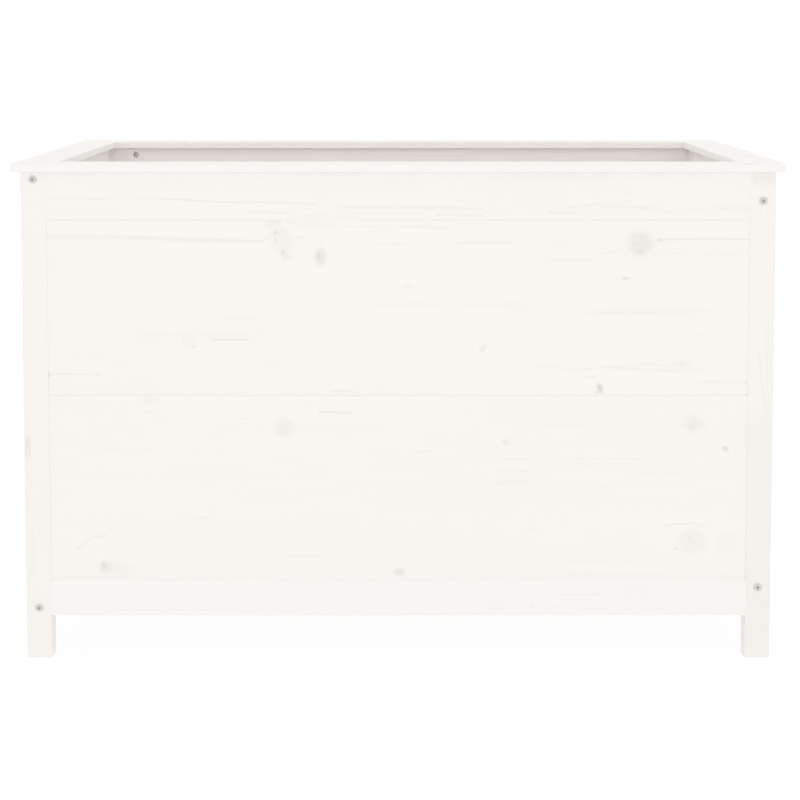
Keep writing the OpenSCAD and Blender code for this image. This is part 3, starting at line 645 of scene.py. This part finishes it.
def make_set(name, stood, finish, replaced):
    """One mesh of like pieces, from their shapes and the matrices that stand them up."""
    all_points, all_faces, own = [], [], []
    for (points, faces), place in stood:
        start = len(all_points)
        all_points += [place @ Vector(p) * MM for p in points]
        all_faces += [[start + i for i in face] for face in faces]
        own += [value * MM for p in points for value in p]
    mesh = bpy.data.meshes.new(name)
    mesh.from_pydata(all_points, [], all_faces)
    mesh.attributes.new(OWN_PLACE, "FLOAT_VECTOR", "POINT").data.foreach_set("vector", own)
    mesh.polygons.foreach_set("use_smooth", [True] * len(all_faces))
    mesh.set_sharp_from_angle(angle=math.radians(32))
    mesh.materials.append(finish)
    piece = bpy.data.objects.new(name, mesh)
    bpy.context.scene.collection.objects.link(piece)
    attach(piece, BODY)
    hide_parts(replaced)


def on_walls(local):
    """Repeats places given for the long front wall and the short right wall on all four."""
    turned = []
    walls = ((-CORNER_Y, CORNER_X), (-CORNER_X, CORNER_Y)) * 2
    for quarter, (face, post) in enumerate(walls):
        turn = Matrix.Rotation(math.pi / 2 * quarter, 4, "Z")
        turned += [turn @ place for place in local(face, post)]
    return turned


# Zinc plate: cloudy and gritty, turned on a lathe, and darker inside the socket
LATHE_LINES = 21000.0
plated_steel, at, give = group(
    "plated steel", {"vector": ("Place",), "number": ("Turned", "Dull", "Socket")},
    {"colour": ("Colour",), "number": ("Roughness", "Height")})
t = plated_steel
across = vector(t, "LENGTH", vector(t, "MULTIPLY", at["Place"], (1.0, 1.0, 0.0)))
lathe = calc(t, "SINE", calc(t, "MULTIPLY", across, LATHE_LINES))
smudge = cloud(t, at["Place"], (420.0, 420.0, 420.0), 3.0, 0.6)
grit = cloud(t, at["Place"], (2600.0, 2600.0, 2600.0), 2.0, 0.6)
cloudy = calc(t, "MULTIPLY_ADD", smudge, 0.8, calc(t, "MULTIPLY", grit, 0.2))
plate = blend(t, cloudy, ZINC_PLATE, ZINC_WORN)
inside = soft_step(t, across, at["Socket"], calc(t, "MULTIPLY", at["Socket"], 0.88))
give("Colour", blend(t, inside, plate, IN_SOCKET))
dull = calc(t, "MULTIPLY_ADD", inside, 0.2, at["Dull"])
give("Roughness", calc(t, "MULTIPLY_ADD", cloudy, 0.22, dull))
give("Height", calc(t, "MULTIPLY_ADD", lathe, at["Turned"], calc(t, "MULTIPLY", grit, 0.6)))


def plated(name, turned, dull, socket=0.0):
    """A zinc-plated finish, darker within the radius of a socket."""
    finish = bpy.data.materials.new(name)
    finish.use_nodes = True
    tree = finish.node_tree
    skin = tree.nodes["Principled BSDF"]
    skin.inputs["Metallic"].default_value = 1.0
    own = add(tree, "Attribute", attribute_name=OWN_PLACE).outputs["Vector"]
    plate = use(tree, plated_steel, {
        "Place": own, "Turned": turned, "Dull": dull, "Socket": socket * MM})
    relief = add(tree, "Bump", {"Height": plate["Height"], "Strength": 0.15, "Distance": 0.0002})
    tree.links.new(plate["Colour"], skin.inputs["Base Color"])
    tree.links.new(plate["Roughness"], skin.inputs["Roughness"])
    tree.links.new(relief.outputs[0], skin.inputs["Normal"])
    return finish


bolt_finish = plated("plated_bolts", turned=0.5, dull=0.28, socket=2.35)
nut_finish = plated("plated_nuts", turned=0.5, dull=0.3)
bolt_shape = turned_piece([
    (2.2, -BOLT_LENGTH), (BOLT_R, 1.0 - BOLT_LENGTH), (BOLT_R, 0.0), (5.7, 0.0), (HEAD_R, 0.25),
    (HEAD_R, 0.85), (5.85, 1.2), (5.45, 1.6), (4.8, 2.0), (4.0, 2.3), (3.2, 2.47), (2.85, 2.5),
    (hexagon(4.3), 2.46), (hexagon(SOCKET_WIDE), 2.2), (hexagon(SOCKET_WIDE), SOCKET_FLOOR),
    (0.9, 0.45)])
for level, (left, right) in BOLT_HEIGHTS.items():
    places = on_walls(lambda face, post: [
        Matrix.Translation((side * post, face - POST_HALF, left if side < 0 else right))
        @ Matrix.Rotation(math.pi / 2, 4, "X") for side in (-1, 1)])
    make_set(level + "_bolts", [(bolt_shape, place) for place in places], bolt_finish,
             level + "_rail_bolts")

# Barrel nuts. Short zinc-plated cylinders that lie across the rails and take the bolts. Their
# round holes show on the inner faces, and each has a screwdriver slot to turn it to the bolt.
NUT_IN = 69.5
NUT_R, NUT_HALF, NUT_ARRIS = 5.0, 10.0, 0.6
BORE_R = 3.2
SLOT_R, SLOT_HALF, SLOT_FLOOR = 4.2, 0.6, 8.7


def plain_mesh(shape, turn=Matrix()):
    points, faces = shape
    mesh = bpy.data.meshes.new("shape")
    mesh.from_pydata([turn @ Vector(point) for point in points], [], faces)
    piece = bpy.data.objects.new("shape", mesh)
    bpy.context.scene.collection.objects.link(piece)
    return piece


def bored(shape):
    """The shape with the bolt's hole bored across it, along X."""
    blank = plain_mesh(shape)
    bore = turned_piece([(BORE_R, -2 * NUT_R), (BORE_R, 2 * NUT_R)])
    drill = plain_mesh(bore, Matrix.Rotation(math.pi / 2, 4, "Y"))
    cut = blank.modifiers.new("bore", "BOOLEAN")
    cut.object, cut.operation, cut.solver = drill, "DIFFERENCE", "EXACT"
    bored_blank = blank.evaluated_get(bpy.context.evaluated_depsgraph_get())
    done = bpy.data.meshes.new_from_object(bored_blank)
    made = [tuple(v.co) for v in done.vertices], [tuple(face.vertices) for face in done.polygons]
    for scrap in (blank, drill):
        bpy.data.meshes.remove(scrap.data)
    bpy.data.meshes.remove(done)
    return made


slot = slot_mouth(SLOT_R, SLOT_HALF)
nut_shape = bored(turned_piece([
    (NUT_R - NUT_ARRIS, -NUT_HALF), (NUT_R, NUT_ARRIS - NUT_HALF), (NUT_R, NUT_HALF - NUT_ARRIS),
    (NUT_R - NUT_ARRIS, NUT_HALF), (slot, NUT_HALF), (slot, SLOT_FLOOR)]))
for level, (left, right) in BOLT_HEIGHTS.items():
    places = on_walls(lambda face, post: [
        Matrix.Translation((side * (post - NUT_IN), face, right if side < 0 else left))
        @ Matrix.Rotation(-math.pi / 2, 4, "X") for side in (-1, 1)])
    make_set(level + "_nuts", [(nut_shape, place) for place in places], nut_finish,
             level + "_barrel_nuts")

# Screws. Zinc-plated countersunk screws with cross recesses, driven flush: twenty hold the
# bearers, and fifty-one hold the slats.
SCREW_FROM_END, SCREW_FROM_EDGE = 40.0, 20.0
screw_finish = plated("plated_screws", turned=0.2, dull=0.34)


def screw_shape(thread, length):
    """A screw about Z with its head's top at 0. The head is twice as wide as the thread."""
    return turned_piece([
        (0.3, -length), (thread * 0.42, -length + thread), (thread / 2, -length + thread * 1.6),
        (thread / 2, -thread + thread / 2), (thread - 0.12, -0.12), (thread - 0.04, 0.0),
        (cross(thread * 0.47, thread * 0.126), 0.0),
        (cross(thread * 0.26, thread * 0.07), -thread * 0.38)])


slat_screw, lap_screw = screw_shape(3.5, 30.0), screw_shape(3.5, 22.0)
bearer_screw = screw_shape(4.5, 50.0)
bearer_low, bearer_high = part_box("bearer_front")
side_low, side_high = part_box("bearer_right")
bearer_z = (bearer_low.z + bearer_high.z) / 2 / MM
slat_xs = [(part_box(name)[0].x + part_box(name)[1].x) / 2 / MM for name in slats]
short_half = side_high.y / MM - SCREW_FROM_END


def bearer_screw_places(face, post):
    """Where the screws go into the bearer along the front wall or along the right one."""
    long_wall = post == CORNER_X
    inner = (bearer_high.y if long_wall else -side_low.x) / MM
    spots = slat_xs[1:-1:2] if long_wall else [short_half * k / 3 for k in (-3, -1, 1, 3)]
    turn = Matrix.Rotation(-math.pi / 2, 4, "X")
    return [Matrix.Translation((spot, inner, bearer_z)) @ turn for spot in spots]


lap_x, lap_z = (side_low.x + side_high.x) / 2 / MM, bearer_high.z / MM
stood = [(bearer_screw, place) for place in on_walls(bearer_screw_places)]
stood += [(lap_screw, Matrix.Translation((side * lap_x, 0.0, lap_z))) for side in (-1, 1)]
make_set("screws_in_bearers", stood, screw_finish, "bearer_screws")
slat_low, slat_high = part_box(slats[-1])
slat_top = slat_high.z / MM
out_x = (slat_high.x - slat_low.x) / 2 / MM - SCREW_FROM_EDGE
out_y = (bearer_low.y + bearer_high.y) / 2 / MM
end_x = (side_low.x + slat_high.x) / 2 / MM
stood = []
for number, x in enumerate(slat_xs):
    if number in (0, len(slats) - 1):
        end_y = short_half - SCREW_FROM_END
        spots = [(math.copysign(end_x, x), side * end_y) for side in (-1, 1)]
    else:
        spots = [(x + side * out_x, end * out_y) for side in (-1, 1) for end in (-1, 1)]
    for spot in [(x, 0.0)] + spots:
        stood.append((slat_screw, Matrix.Translation((*spot, slat_top))))
make_set("screws_in_slats", stood, screw_finish, "floor_screws")

# Ground and studio. A plain white ground that keeps the bed's soft shadow, and an even white
# surrounding that is a little brighter near the horizon, as from large screens round the bed.
GROUND_HALF = 14.0
ground_corners = [(x * GROUND_HALF, y * GROUND_HALF, 0.0)
                  for x, y in ((-1, -1), (1, -1), (1, 1), (-1, 1))]
ground_mesh = bpy.data.meshes.new("ground")
ground_mesh.from_pydata(ground_corners, [], [(0, 1, 2, 3)])
ground = bpy.data.objects.new("ground", ground_mesh)
bpy.context.scene.collection.objects.link(ground)
pale = bpy.data.materials.new("pale_ground")
pale.use_nodes = True
ground_mesh.materials.append(pale)


def seen_directly(tree):
    """1 for what the eye sees straight or in metal, 0 for what lights the bed."""
    ray = add(tree, "LightPath").outputs
    seen = calc(tree, "MAXIMUM", ray["Is Camera Ray"], ray["Is Glossy Ray"])
    return calc(tree, "MAXIMUM", seen, ray["Is Transmission Ray"])


def pale_table(tree, matt, glowing):
    """A white top that is lit from above and from below."""
    top = add(tree, "BsdfDiffuse", {"Color": (matt, matt, matt, 1.0)}).outputs[0]
    light = add(tree, "Emission", {
        "Color": (1.0, 1.0, 1.0, 1.0), "Strength": glowing}).outputs[0]
    return add(tree, "AddShader", {0: top, 1: light}).outputs[0]


tree = pale.node_tree
tree.nodes.clear()
plain = pale_table(tree, matt=0.15, glowing=0.75)
shown = pale_table(tree, matt=0.10, glowing=0.91)
mixed = add(tree, "MixShader", {0: seen_directly(tree), 1: plain, 2: shown}).outputs[0]
add(tree, "OutputMaterial", {"Surface": mixed})

OVERHEAD, HORIZON_EXTRA, HORIZON_NARROW = 0.893, 0.54, 2.0
studio = bpy.data.worlds.new("studio")
bpy.context.scene.world = studio
studio.use_nodes = True
tree = studio.node_tree
tree.nodes.clear()
direction = add(tree, "TexCoord").outputs["Generated"]
up = calc(tree, "MAXIMUM", add(tree, "SeparateXYZ", {0: direction}).outputs[2], 0.0)
low_glow = calc(tree, "POWER", calc(tree, "SUBTRACT", 1.0, up), HORIZON_NARROW)
glow = calc(tree, "MULTIPLY_ADD", low_glow, HORIZON_EXTRA, OVERHEAD)
seen = seen_directly(tree)
lit = calc(tree, "MULTIPLY", glow, calc(tree, "SUBTRACT", 1.0, seen))
strength = calc(tree, "ADD", seen, lit)
sky = add(tree, "Background", {"Color": (1.0, 1.0, 1.0, 1.0), "Strength": strength}).outputs[0]
add(tree, "OutputWorld", {"Surface": sky})

# Camera. It looks along the bed's depth from a little above the rim, as the picture was taken.
# The picture's optical middle lies above its own middle, and the shift makes up for that.
IMAGE = 800
FOCAL, MIDDLE_X, MIDDLE_Y = 2234.8, 404.3, 250.0
LOOKS_DOWN = 5.326
STANDS_AT = (0.0095, -3.8492, 0.9670)
lens = bpy.data.cameras.new("camera")
lens.sensor_width = 36.0
lens.lens = FOCAL * lens.sensor_width / IMAGE
lens.shift_x = (IMAGE / 2 - MIDDLE_X) / IMAGE
lens.shift_y = (MIDDLE_Y - IMAGE / 2) / IMAGE
camera = bpy.data.objects.new("camera", lens)
camera.location = STANDS_AT
camera.rotation_euler = (math.radians(90 - LOOKS_DOWN), 0.0, 0.0)
bpy.context.scene.collection.objects.link(camera)
bpy.context.scene.camera = camera

bpy.context.scene.view_settings.view_transform = "Standard"
